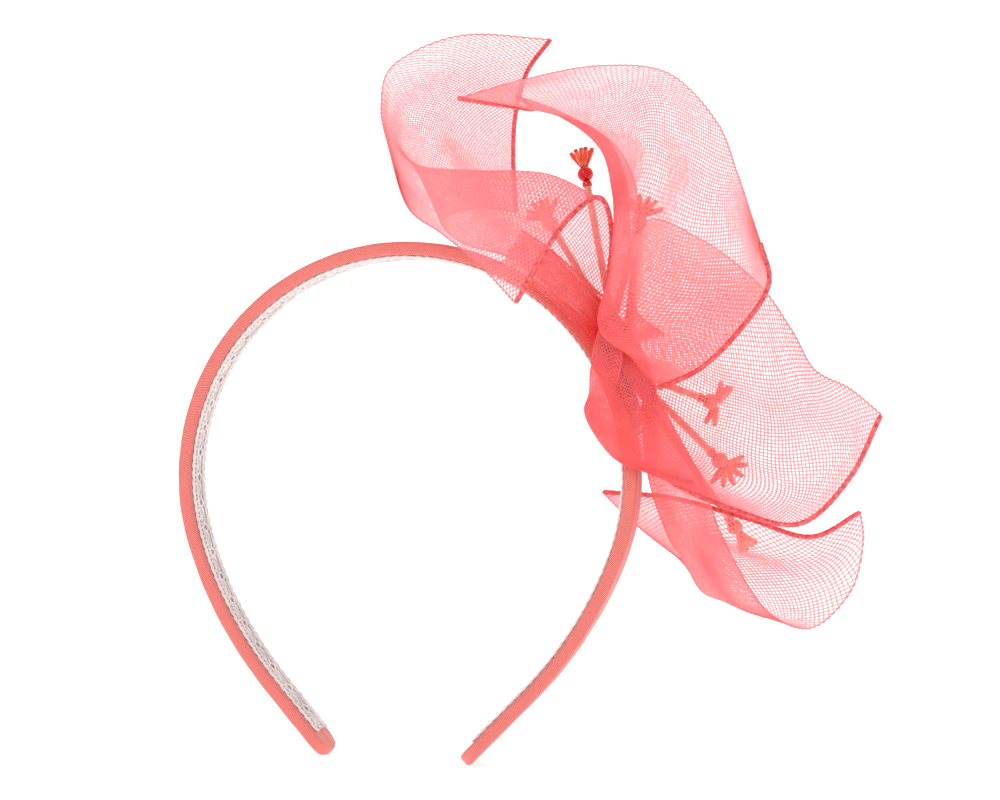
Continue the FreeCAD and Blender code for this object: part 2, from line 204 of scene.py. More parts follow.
# Its inner turn, behind the deep fold in the lobe.
LEAF_TURN = [
    [(65, -5, 31), (67, -5, 31), (69.5, -4, 30.5)],
    [(65.5, -5, 24.5), (68, -5, 24.5), (70.5, -4, 24)],
    [(66, -5, 17.5), (68.5, -5, 17.5), (71.5, -4, 17)],
    [(67, -5, 10.5), (69.5, -5, 10.5), (72.5, -4, 10)],
    [(67.5, -5, 5.5), (70, -5, 5), (73, -4, 4.5)],
]
# Where each stamen's wire leaves the trim, and the middle of its round bead.
STAMENS = [
    ((57, 9, 48), (46, 20, 91)),
    ((56, 13, 47), (36, 20, 76)),
    ((58, 6, 48), (63, 17, 77)),
    ((69, 6, 31), (86, 14, 25)),
    ((68, 9, 28), (89, 17, 8)),
    ((67, 13, 25), (93, 32, -12)),
]


# ---- materials ----------------------------------------------------------------

def new_material(name, roughness, specular=0.5, **sockets):
    """An empty Principled material, with its tree and shader."""
    mat = bpy.data.materials.new(name)
    mat.use_nodes = True
    tree = mat.node_tree
    shader = tree.nodes["Principled BSDF"]
    shader.inputs["Roughness"].default_value = roughness
    shader.inputs["Specular IOR Level"].default_value = specular
    for key, value in sockets.items():
        shader.inputs[key.replace("_", " ")].default_value = value
    return mat, tree, shader


def put(tree, kind, operation=None, **sockets):
    """A node with its sockets set by number (i0, i1...) or linked from another node."""
    node = tree.nodes.new(kind)
    if operation:
        node.operation = operation
    for key, value in sockets.items():
        socket = node.inputs[int(key[1:])]
        if isinstance(value, bpy.types.NodeSocket):
            tree.links.new(value, socket)
        else:
            socket.default_value = value
    return node


def math_node(tree, operation, a, b=0.0):
    return put(tree, "ShaderNodeMath", operation, i0=a, i1=b).outputs[0]


def noise(tree, vector, scale, detail=3.0, roughness=0.55):
    node = tree.nodes.new("ShaderNodeTexNoise")
    tree.links.new(vector, node.inputs["Vector"])
    node.inputs["Scale"].default_value = scale
    node.inputs["Detail"].default_value = detail
    node.inputs["Roughness"].default_value = roughness
    return node.outputs["Fac"]


def ramp(tree, factor, *stops):
    """A colour ramp; each stop is a position and a colour."""
    node = tree.nodes.new("ShaderNodeValToRGB")
    tree.links.new(factor, node.inputs[0])
    elements = node.color_ramp.elements
    while len(elements) < len(stops):
        elements.new(0.5)
    for element, (position, colour) in zip(elements, stops):
        element.position = position
        element.color = (*colour, 1.0)
    return node.outputs["Color"]


def bump(tree, shader, height, distance, strength=1.0):
    node = tree.nodes.new("ShaderNodeBump")
    node.inputs["Strength"].default_value = strength
    node.inputs["Distance"].default_value = distance
    tree.links.new(height, node.inputs["Height"])
    tree.links.new(node.outputs[0], shader.inputs["Normal"])


def position(tree):
    return tree.nodes.new("ShaderNodeTexCoord").outputs["Object"]


def painted_shade_by_distance(tree, colour, middle, reach, tint):
    """Painted shade: colour multiplied by tint at middle, fading to none beyond the second reach.
    """
    away = put(tree, "ShaderNodeVectorMath", "DISTANCE", i0=position(tree), i1=middle)
    near = put(tree, "ShaderNodeMapRange", i0=away.outputs[1], i1=reach[1], i2=reach[0])
    mix = tree.nodes.new("ShaderNodeMix")
    mix.data_type = "RGBA"
    mix.blend_type = "MULTIPLY"
    mix.inputs[7].default_value = (*tint, 1.0)
    tree.links.new(near.outputs[0], mix.inputs[0])
    tree.links.new(colour, mix.inputs[6])
    return mix.outputs[2]


# Painted shade, where the net is deeper in colour in the lobe and in the upper loop's mouth: its
# middle, how far it reaches and the tint there.
LOBE_PAINTED_SHADE = ((0.063, -0.008, 0.018), (0.006, 0.055), (1.0, 0.5, 0.47))
MOUTH_PAINTED_SHADE = ((0.058, -0.01, 0.041), (0.004, 0.024), (0.95, 0.1, 0.1))


def crin_material(name, deep, pale, glow_colour, glow_share, clear_share, patch=55.0,
                  shade=LOBE_PAINTED_SHADE):
    """Nylon filament: glossy, dyed unevenly, with painted shade in its deep folds, lit from behind
    and partly clear.
    """
    mat, tree, shader = new_material(name, 0.34, 0.45)
    where = position(tree)
    tint = noise(tree, where, patch, 4.0)
    colour = ramp(tree, tint, (0.32, deep), (0.68, pale))
    # Painted shade: the colour deepens towards the given middle.
    colour = painted_shade_by_distance(tree, colour, *shade)
    tree.links.new(colour, shader.inputs["Base Color"])
    glow = tree.nodes.new("ShaderNodeBsdfTranslucent")
    glow.inputs["Color"].default_value = (*glow_colour, 1.0)
    clear = tree.nodes.new("ShaderNodeBsdfTransparent")
    clear.inputs["Color"].default_value = (*glow_colour, 1.0)
    lit = put(tree, "ShaderNodeMixShader", i0=glow_share)
    tree.links.new(shader.outputs[0], lit.inputs[1])
    tree.links.new(glow.outputs[0], lit.inputs[2])
    mix = put(tree, "ShaderNodeMixShader", i0=clear_share)
    tree.links.new(lit.outputs[0], mix.inputs[1])
    tree.links.new(clear.outputs[0], mix.inputs[2])
    out = tree.nodes["Material Output"]
    tree.links.new(mix.outputs[0], out.inputs["Surface"])
    fibre = noise(tree, where, 2600.0, 2.0)
    bump(tree, shader, fibre, 0.00004, 0.4)
    return mat


def ribbon_material():
    """Ribbed ribbon: slanted ribs, loose slubs and flecks, with painted shade and painted
    reflection of the net round the knot.  UVs are in millimetres.
    """
    mat, tree, shader = new_material("ribbed_ribbon", 0.62, 0.3)
    uv = tree.nodes.new("ShaderNodeUVMap")
    uv.uv_map = "cloth"
    parts = put(tree, "ShaderNodeSeparateXYZ", i0=uv.outputs[0]).outputs
    wander = math_node(tree, "MULTIPLY", noise(tree, uv.outputs[0], 0.25, 2.0), 0.7)
    slant = math_node(tree, "MULTIPLY", parts[0], RIB_SLANT)
    along = math_node(tree, "ADD", math_node(tree, "ADD", parts[1], slant), wander)
    rib = math_node(tree, "SINE", math_node(tree, "MULTIPLY", along, 2 * math.pi / RIB_PITCH_MM))
    rib01 = math_node(tree, "MULTIPLY_ADD", rib, 0.5)
    rib01.node.inputs[2].default_value = 0.5
    squeezed = put(tree, "ShaderNodeMapping", i0=uv.outputs[0])
    squeezed.inputs["Scale"].default_value = (0.6, 3.2, 1.0)
    slub = noise(tree, squeezed.outputs[0], 1.2, 5.0, 0.7)
    grain = math_node(tree, "ADD", math_node(tree, "MULTIPLY", rib01, 0.55),
                      math_node(tree, "MULTIPLY", slub, 0.75))
    colour = ramp(tree, grain, (0.22, (0.46, 0.06, 0.05)), (0.5, (0.74, 0.145, 0.125)),
                  (0.85, (0.9, 0.26, 0.22)))
    # Painted shade and painted reflection of the net: the ribbon's colour deepens near the knot.
    colour = painted_shade_by_distance(tree, colour, TRIM_SHADE_MIDDLE, (0.016, 0.038), (0.97, 0.5, 0.48))
    tree.links.new(colour, shader.inputs["Base Color"])
    shader.inputs["Sheen Weight"].default_value = 0.25
    bump(tree, shader, grain, 0.00022, 0.8)
    return mat


def yarn_material(name, dark, light, scale=900.0, sheen=0.3):
    """Spun or plied yarn: fibre streaks in colour and height."""
    mat, tree, shader = new_material(name, 0.75, 0.25)
    where = position(tree)
    fibre = noise(tree, where, scale, 4.0, 0.65)
    patch = noise(tree, where, 140.0, 2.0)
    mixed = math_node(tree, "ADD", math_node(tree, "MULTIPLY", fibre, 0.6),
                      math_node(tree, "MULTIPLY", patch, 0.4))
    tree.links.new(ramp(tree, mixed, (0.3, dark), (0.66, light)), shader.inputs["Base Color"])
    shader.inputs["Sheen Weight"].default_value = sheen
    bump(tree, shader, fibre, 0.00015, 0.7)
    return mat


def glass_material(name, dark, light, transmission, roughness=0.06):
    """Pressed glass with faint swirls of colour."""
    mat, tree, shader = new_material(name, roughness, 0.5, IOR=1.52)
    swirl = noise(tree, position(tree), 420.0, 3.0)
    tree.links.new(ramp(tree, swirl, (0.35, dark), (0.65, light)), shader.inputs["Base Color"])
    shader.inputs["Transmission Weight"].default_value = transmission
    shader.inputs["Coat Weight"].default_value = 0.4
    shader.inputs["Coat Roughness"].default_value = 0.04
    return mat


def wire_material():
    mat, tree, shader = new_material("craft_wire", 0.3, 0.5, Metallic=1.0)
    wear = noise(tree, position(tree), 1500.0, 3.0)
    tree.links.new(ramp(tree, wear, (0.3, (0.62, 0.42, 0.34)), (0.7, (0.86, 0.66, 0.56))),
                   shader.inputs["Base Color"])
    return mat


def plastic_material():
    mat, tree, shader = new_material("band_plastic", 0.45, 0.4)
    cloud = noise(tree, position(tree), 300.0, 3.0)
    tree.links.new(ramp(tree, cloud, (0.3, (0.72, 0.7, 0.67)), (0.7, (0.84, 0.82, 0.79))),
                   shader.inputs["Base Color"])
    bump(tree, shader, cloud, 0.00005, 0.3)
    return mat


CRIN = crin_material("crin_nylon", (1.0, 0.31, 0.33), (1.0, 0.43, 0.45), (1.0, 0.56, 0.58),
                     0.35, 0.42)
# A darker copy of the net, as painted shade, for the layers folded inside the upper loop's mouth.
FOLDED_SHADED = crin_material("crin_folded_shaded", (1.0, 0.22, 0.22), (1.0, 0.34, 0.34), (1.0, 0.5, 0.5),
                       0.3, 0.3, shade=MOUTH_PAINTED_SHADE)
HEM = crin_material("crin_rolled_hem", (0.66, 0.03, 0.04), (1.0, 0.2, 0.21), (1.0, 0.3, 0.3),
                    0.1, 0.0, 900.0)
GATHER = crin_material("crin_gathered", (0.9, 0.06, 0.07), (1.0, 0.2, 0.2), (1.0, 0.25, 0.25),
                       0.25, 0.1)
RIBBON = ribbon_material()
LACE = yarn_material("lining_cotton", (0.66, 0.58, 0.57), (0.9, 0.85, 0.83))
LACE_GROUND = yarn_material("lining_ground", (0.5, 0.36, 0.36), (0.74, 0.6, 0.6), 1800.0)
FELT = yarn_material("base_felt_wool", (0.6, 0.05, 0.045), (0.82, 0.12, 0.1), 700.0, 0.05)
THREAD = yarn_material("sewing_thread", (0.7, 0.1, 0.1), (0.92, 0.25, 0.23), 2500.0)
GLASS_CLEAR = glass_material("glass_peach", (0.95, 0.5, 0.34), (1.0, 0.76, 0.6), 0.45)
GLASS_RED = glass_material("glass_red", (0.7, 0.006, 0.003), (0.95, 0.035, 0.01), 0.2)
GLASS_CORAL = glass_material("glass_coral", (0.9, 0.12, 0.06), (1.0, 0.3, 0.2), 0.4)
GLASS_ORANGE = glass_material("glass_orange", (0.7, 0.025, 0.005), (0.95, 0.11, 0.02), 0.1)
GLASS_AMBER = glass_material("glass_amber", (0.9, 0.12, 0.02), (1.0, 0.36, 0.08), 0.2)
WIRE = wire_material()
PLASTIC = plastic_material()


# ---- mesh helpers ---------------------------------------------------------------

def new_piece(name, points, faces, mat, body):
    """A mesh piece that rides on a body and takes its finish from a slot."""
    mesh = bpy.data.meshes.new(name)
    mesh.from_pydata(np.asarray(points).tolist(), [], np.asarray(faces).tolist()
                     if isinstance(faces, np.ndarray) else faces)
    mesh.validate()
    mesh.polygons.foreach_set("use_smooth", [True] * len(mesh.polygons))
    mesh.materials.append(mat)
    piece = bpy.data.objects.new(name, mesh)
    bpy.context.scene.collection.objects.link(piece)
    if body:
        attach(piece, body)
    return piece


def grid_faces(rows, columns):
    """Quads between neighbouring points of a grid."""
    r = np.arange(rows - 1)[:, None] * columns
    c = np.arange(columns - 1)[None, :]
    quads = np.stack([r + c, r + c + 1, r + columns + c + 1, r + columns + c], -1)
    return quads.reshape(-1, 4)


def cubic_weights(f):
    """Weights of four neighbouring points on a smooth curve, at f from 0 to 1."""
    f = f[:, None]
    return np.concatenate([-f + 2 * f ** 2 - f ** 3, 2 - 5 * f ** 2 + 3 * f ** 3,
                           f + 4 * f ** 2 - 3 * f ** 3, -f ** 2 + f ** 3], axis=1) / 2


def pad(points, axis):
    """One more row at each end, in line with the two rows beside it."""
    points = np.moveaxis(points, axis, 0)
    first = 2 * points[:1] - points[1:2]
    last = 2 * points[-1:] - points[-2:-1]
    return np.moveaxis(np.concatenate([first, points, last]), 0, axis)


def curve_points(points, t):
    """Points at t, from 0 to 1, on the smooth curve through the given ones."""
    points = np.asarray(points, float)
    t = np.clip(np.asarray(t, float), 0, 1) * (len(points) - 1)
    i = np.minimum(t.astype(int), len(points) - 2)
    near = pad(points, 0)[i[:, None] + np.arange(4)]
    return np.einsum("nk,nkd->nd", cubic_weights(t - i), near)


class Strip:
    """A strip's smooth surface, with even steps along and across it."""

    def __init__(self, rows):
        self.rows = np.array(rows, float) * MM
        self.padded = pad(pad(self.rows, 0), 1)
        fine = 40
        u, v = np.meshgrid(np.linspace(0, 1, fine), np.linspace(0, 1, fine), indexing="ij")
        grid = self.raw(u.ravel(), v.ravel()).reshape(fine, fine, 3)
        along = np.linalg.norm(np.diff(grid, axis=0), axis=2).mean(1)
        across = np.linalg.norm(np.diff(grid, axis=1), axis=2).mean(0)
        self.length, self.width = along.sum(), across.sum()
        self.u_at = np.concatenate([[0], along.cumsum()]) / self.length
        self.v_at = np.concatenate([[0], across.cumsum()]) / self.width
        self.even = np.linspace(0, 1, fine)

    def raw(self, u, v):
        s = np.clip(u, 0, 1) * (self.rows.shape[0] - 1)
        t = np.clip(v, 0, 1) * (self.rows.shape[1] - 1)
        i = np.minimum(s.astype(int), self.rows.shape[0] - 2)
        j = np.minimum(t.astype(int), self.rows.shape[1] - 2)
        near = self.padded[(i[:, None] + np.arange(4))[:, :, None],
                           (j[:, None] + np.arange(4))[:, None, :]]
        return np.einsum("na,nb,nabd->nd", cubic_weights(s - i), cubic_weights(t - j), near)

    def at(self, u, v):
        """Points and normals at u along and v across, each from 0 to 1."""
        u = np.interp(u, self.u_at, self.even)
        v = np.interp(v, self.v_at, self.even)
        e = 0.004
        du = self.raw(np.minimum(u + e, 1), v) - self.raw(np.maximum(u - e, 0), v)
        dv = self.raw(u, np.minimum(v + e, 1)) - self.raw(u, np.maximum(v - e, 0))
        normal = np.cross(du, dv)
        normal /= np.maximum(np.linalg.norm(normal, axis=1, keepdims=True), 1e-12)
        return self.raw(u, v), normal


def sweep(points, sides, radii, normals=None, flat=1.0):
    """Closed tube along points, with one radius or one for each ring, as points and faces."""
    points = np.asarray(points, float)
    n = len(points)
    radii = np.broadcast_to(np.asarray(radii, float), (n,))
    tangent = np.gradient(points, axis=0)
    tangent /= np.maximum(np.linalg.norm(tangent, axis=1, keepdims=True), 1e-12)
    if normals is None:
        normals = np.empty_like(points)
        ref = np.array([0, 0, 1.0])
        if abs(tangent[0] @ ref) > 0.9:
            ref = np.array([0, 1.0, 0])
        for k in range(n):
            ref = ref - tangent[k] * (ref @ tangent[k])
            ref /= np.linalg.norm(ref)
            normals[k] = ref
    side = np.cross(tangent, normals)
    a = np.arange(sides) * 2 * math.pi / sides
    ring = (side[:, None] * np.cos(a)[None, :, None]
            + normals[:, None] * (np.sin(a) * flat)[None, :, None])
    out = points[:, None] + ring * radii[:, None, None]
    base = np.arange(n - 1)[:, None] * sides
    k = np.arange(sides)[None, :]
    nxt = (k + 1) % sides
    faces = np.stack([base + k, base + nxt, base + sides + nxt, base + sides + k], -1)
    faces = faces.reshape(-1, 4).tolist()
    faces.append(list(range(sides))[::-1])
    faces.append([(n - 1) * sides + x for x in range(sides)])
    return out.reshape(-1, 3), faces


def join(parts):
    """Several (points, faces) as one."""
    points, faces, start = [], [], 0
    for p, f in parts:
        points.append(p)
        faces += [[x + start for x in face] for face in f]
        start += len(p)
    return np.concatenate(points), faces


# ---- crinoline ------------------------------------------------------------------

def net(strip):
    """Two families of slanted threads, woven over and under each other."""
    half = THREAD_PITCH / math.sqrt(2)
    across = int(round(strip.width / half))
    along = int(round(strip.length / half))
    parts = []
    shift = random.uniform(0, 6.28, 4)
    for way in (1, -1):
        k = np.arange(across + 1)
        if way == 1:
            starts = np.arange(-(across // 2) * 2 - 2, along + 1, 2)
        else:
            starts = np.arange(0, along + across + 3, 2)
        i = starts[:, None] + way * k[None, :]
        kk = np.broadcast_to(k, i.shape)
        inside = (i >= 0) & (i <= along)
        jitter = random.normal(0, 0.05, (2,) + i.shape)
        free = (i > 0) & (i < along) & (kk > 0) & (kk < across)
        inner = np.sin(np.pi * kk / across) * np.sin(np.pi * np.clip(i, 0, along) / along)
        # Slow waves pull the weave out of true, but not at the strip's edges.
        drift_u = 1.3 * np.sin(kk / 11.0 + i / 17.0 + shift[0])
        drift_u = drift_u + np.sin(i / 7.0 - kk / 9.0 + shift[1])
        drift_v = 1.3 * np.sin(i / 12.0 - kk / 15.0 + shift[2])
        drift_v = drift_v + np.sin(kk / 6.0 + i / 10.0 + shift[3])
        u = ((i + jitter[0] * free + drift_u * inner) / along)[inside]
        v = ((kk + jitter[1] * free + drift_v * inner) / across)[inside]
        point, normal = strip.at(u, v)
        sign = np.where(kk[inside] % 2 == 0, 1.0, -1.0) * way
        point = point + normal * (sign * THREAD_WEAVE)[:, None]
        index = np.full(i.shape, -1)
        index[inside] = np.arange(inside.sum())
        before = np.full(i.shape, -1)
        before[:, 1:] = index[:, :-1]
        after = np.full(i.shape, -1)
        after[:, :-1] = index[:, 1:]
        here = index[inside]
        prev = np.where(before[inside] >= 0, before[inside], here)
        nxt = np.where(after[inside] >= 0, after[inside], here)
        tangent = point[nxt] - point[prev]
        size = np.linalg.norm(tangent, axis=1, keepdims=True)
        side = np.cross(normal, tangent / np.maximum(size, 1e-9))
        gathered = np.clip(size / (2 * THREAD_PITCH), THREAD_PACKED, 1.0)
        width = THREAD_W / 2 * random.uniform(0.85, 1.15, (len(point), 1)) * gathered
        ridge = normal * THREAD_T
        corners = np.stack([point + side * width, point + ridge, point - side * width], 1)
        pairs = np.stack([here, nxt], 1)[nxt != here]
        c = np.arange(2)
        quad = np.stack([pairs[:, :1] * 3 + c, pairs[:, :1] * 3 + c + 1,
                         pairs[:, 1:] * 3 + c + 1, pairs[:, 1:] * 3 + c], -1)
        faces = quad.reshape(-1, 4)
        used = np.unique(faces)
        renumber = np.zeros(len(corners) * 3, int)
        renumber[used] = np.arange(len(used))
        parts.append((corners.reshape(-1, 3)[used], renumber[faces].tolist()))
    return parts


def selvedges(strip):
    """The thread that runs in and out along each woven edge."""
    half = THREAD_PITCH / math.sqrt(2)
    steps = int(round(strip.length / half)) * 2
    u = np.linspace(0, 1, steps + 1)
    out = []
    for v, inward in ((0.0, 0.012), (1.0, -0.012)):
        edge, normal = strip.at(u, np.full_like(u, v))
        inner, _ = strip.at(u, np.full_like(u, v + inward))
        away = edge - inner
        away /= np.linalg.norm(away, axis=1, keepdims=True)
        wave = np.cos(np.arange(steps + 1) * math.pi / 2)
        line = edge + away * (wave * 0.12 * MM)[:, None]
        out.append(sweep(line, 5, SELVEDGE_R * (1 + 0.22 * wave), normals=normal, flat=0.8))
    return out


def turned_in(strip, length, width, back):
    """Net folded back along part of a strip: spans along and across, and how far behind."""
    rows = []
    for u in np.linspace(*length, 12):
        v = np.linspace(*width, 5)
        points, _ = strip.at(np.full_like(v, u), v)
        points[:, 1] += back
        rows.append(points / MM)
    return Strip(rows)


def make_crin(name, layers, mat=CRIN):
    """Net and woven edges of one or more layers, as one piece on the trimmed side."""
    points, faces = join([part for layer in layers for part in net(layer) + selvedges(layer)])
    return new_piece(name, points, faces, mat, "trim_side")


def make_hem(name, row):
    """Rolled, hand-stitched hem: plump between stitches and pinched at each."""
    row = np.array(row, float) * MM
    fine = np.linspace(0, 1, 200)
    rough = curve_points(row, fine)
    run = np.concatenate([[0], np.linalg.norm(np.diff(rough, axis=0), axis=1).cumsum()])
    count = int(run[-1] / HEM_STEP)
    s = np.linspace(0, run[-1], count)
    line = curve_points(row, np.interp(s, run, fine))
    phase = (s / HEM_STITCH + 0.15 * np.sin(s / HEM_STITCH * 1.7)) % 1.0
    pinch = np.exp(-((phase - 0.5) / 0.11) ** 2)
    size = HEM_R * (1.0 - 0.2 * pinch + random.normal(0, 0.012, count))
    ends = np.minimum(s, run[-1] - s) / (HEM_R * 0.8)
    size *= np.sqrt(np.clip(1 - (1 - np.clip(ends, 0, 1)) ** 2, 0.05, 1))
    parts = [sweep(line, 12, size)]
    wraps = np.arange(0.5 * HEM_STITCH, run[-1] - HEM_STITCH * 0.4, HEM_STITCH)
    for at in wraps:
        t = np.interp(at, run, fine)
        here, ahead = curve_points(row, [t, min(t + 0.01, 1.0)])
        axis = Vector(ahead - here).normalized()
        one = axis.orthogonal().normalized()
        two = axis.cross(one)
        loop = []
        for step in range(13):
            a = step * math.pi / 6
            loop.append(Vector(here) + (one * math.cos(a) + two * math.sin(a)) * (HEM_R * 0.84)
                        + axis * (0.25 * MM * math.sin(a)))
        parts.append(sweep(np.array([list(p) for p in loop]), 5, HEM_THREAD_R))
    points, faces = join(parts)
    piece = new_piece("rolled_" + name, points, faces, HEM, "trim_side")
    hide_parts(name)
    return piece


hems = {name: make_hem(name, row) for name, row in (
    ("hem_upper_mouth", UPPER_LOOP[0]), ("hem_upper_leaf", UPPER_LOOP[-1]),
    ("hem_arch_tip", CROWN_ARCH[0]), ("hem_arch_front", CROWN_ARCH[-1]),
    ("hem_side_leaf", SIDE_LEAF[-1]), ("hem_lower_loop", LOWER_LOOP[-1]))}

arch = Strip(CROWN_ARCH)
for name, strip, layers, ends in (
        ("upper_loop", Strip(UPPER_LOOP), [Strip(rows) for rows in INNER_FOLD],
         ("hem_upper_mouth", "hem_upper_leaf")),
        ("crown_arch", arch, [turned_in(arch, (0.1, 0.9), (0.61, 0.77), 1.0 * MM)],
         ("hem_arch_tip", "hem_arch_front")),
        ("side_leaf", Strip(SIDE_LEAF), [Strip(LEAF_TURN), Strip(LEAF_TOP)],
         ("hem_side_leaf",)),
        ("lower_loop", Strip(LOWER_LOOP), [], ("hem_lower_loop",))):
    piece = make_crin(name, [strip])
    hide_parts("crin_" + name)
    edges = [hems[end] for end in ends]
    if layers:
        edges.append(make_crin(name + "_fold", layers, FOLDED_SHADED if name == "upper_loop" else CRIN))


# ---- band -----------------------------------------------------------------------

CROWN_LENGTH = CROWN_R * (math.pi / 2 + CROWN_DROP)
LEG_LENGTH = LEG_R * (LEG_END - CROWN_DROP)
BAND_LENGTH = CROWN_LENGTH + LEG_LENGTH + LEG_STRAIGHT
COVER_LENGTH = BAND_LENGTH + BAND_T / 2


def band_line(s, side):
    """Points on the band's outer face and their outward normals, s from the crown."""
    s = np.asarray(s, float)
    out = CROWN_R - LEG_R
    cx = out * math.cos(CROWN_DROP)
    cz = -out * math.sin(CROWN_DROP)
    a = np.where(s < CROWN_LENGTH, math.pi / 2 - s / CROWN_R,
                 -CROWN_DROP - (s - CROWN_LENGTH) / LEG_R)
    a = np.maximum(a, -LEG_END)
    crown = s < CROWN_LENGTH
    x = np.where(crown, CROWN_R * np.cos(a), cx + LEG_R * np.cos(a))
    z = np.where(crown, CROWN_R * np.sin(a), cz + LEG_R * np.sin(a))
    straight = np.maximum(s - CROWN_LENGTH - LEG_LENGTH, 0)
    x = x - straight * math.sin(LEG_END)
    z = z - straight * math.cos(LEG_END)
    points = np.stack([side * x, np.zeros_like(x), z], 1)
    normals = np.stack([side * np.cos(a), np.zeros_like(x), np.sin(a)], 1)
    return points, normals


def section(count, lap):
    """Rounded cross-section of the covered band as (y, depth), lapped on the inside."""
    w, t, r = BAND_W / 2, BAND_T, EDGE_ROUND
    arcs = (((w - r, t - r), math.pi / 2, 0.0), ((w - r, r), 0.0, -math.pi / 2),
            ((-w + r, r), -math.pi / 2, -math.pi), ((-w + r, t - r), math.pi, math.pi / 2))
    path = [np.array([-lap / 2, t]), np.array([w - r, t])]
    for (cy, cd), a0, a1 in arcs:
        for step in range(9):
            a = a0 + (a1 - a0) * step / 8
            path.append(np.array([cy + r * math.cos(a), cd + r * math.sin(a)]))
    path.append(np.array([lap / 2, t]))
    path = np.array(path)
    run = np.concatenate([[0], np.linalg.norm(np.diff(path, axis=0), axis=1).cumsum()])
    s = np.linspace(0, run[-1], count)
    return np.stack([np.interp(s, run, path[:, k]) for k in (0, 1)], 1), s


def make_cover(side, body):
    """Ribbon wrapped round the band, its long edges lapped under the lining."""
    count = RIBBON_COLUMNS
    shape, around = section(count, RIBBON_LAP)
    stations = np.arange(0, COVER_LENGTH, RIBBON_STEP)
    near_end = COVER_LENGTH - np.array([1.9, 1.5, 1.1, 0.8, 0.5, 0.3, 0.15, 0.05, 0.0]) * MM
    stations = np.concatenate([stations[stations < near_end[0]], near_end])
    base, normal = band_line(stations, side)
    left = COVER_LENGTH - stations
    half_w = BAND_W / 2
    narrow = np.sqrt(np.clip(1 - np.clip((half_w - left) / half_w, 0, 1) ** 2, 0.0004, 1))
    half_t = BAND_T / 2
    thin = np.sqrt(np.clip(1 - np.clip((half_t - left) / half_t, 0, 1) ** 2, 0.0004, 1))
    y = shape[None, :, 0] * narrow[:, None]
    depth = half_t + (shape[None, :, 1] - half_t) * thin[:, None]
    # Ripples along the wrapped ribbon, creases at the tip and unevenness of the weave.
    rise = 0.035 * np.sin(stations[:, None] / (5.3 * MM) + shape[None, :, 0] / (4.1 * MM))
    rise = rise + 0.03 * np.sin(stations[:, None] / (1.9 * MM) - around[None, :] / (2.3 * MM))
    end_fold = np.exp(-(left / TIP_FOLDS) ** 2)[:, None]
    rise = rise + 0.14 * end_fold * np.sin(around[None, :] / (1.25 * MM))
    rise = rise + random.normal(0, 0.012, rise.shape)
    swell = rise * MM * np.minimum(thin, narrow)[:, None]
    up = np.where(np.arange(count) > count - 6, RIBBON_LAP_RISE, 0.0)[None, :]
    centre_y = np.clip(y, -half_w + EDGE_ROUND * 2, half_w - EDGE_ROUND * 2)
    dy = y - centre_y
    dd = depth - half_t
    size = np.sqrt(dy ** 2 + dd ** 2) + 1e-9
    y = y + dy / size * swell
    depth = depth + dd / size * (swell + up * thin[:, None])
    points = (base[:, None] - normal[:, None] * depth[..., None]
              + np.array([0, 1.0, 0]) * y[..., None])
    faces = grid_faces(len(stations), count)
    if side > 0:
        faces = faces[:, ::-1]
    piece = new_piece("ribbon_" + body, points.reshape(-1, 3), faces, RIBBON, None)
    uv = piece.data.uv_layers.new(name="cloth")
    loop_vertex = np.empty(len(piece.data.loops), int)
    piece.data.loops.foreach_get("vertex_index", loop_vertex)
    uv_at = np.stack([around[loop_vertex % count], stations[loop_vertex // count]], 1) / MM
    uv.data.foreach_set("uv", uv_at.ravel().astype(np.float32))
    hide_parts("ribbon_cover_" + body)
    return piece, around[-1]


def on_lining(s, y, lift, side):
    """Points on the lining: s from the crown, y across, lift above the cover."""
    base, normal = band_line(s, side)
    points = base - normal * (BAND_T + lift)[:, None]
    points[:, 1] += y
    return points


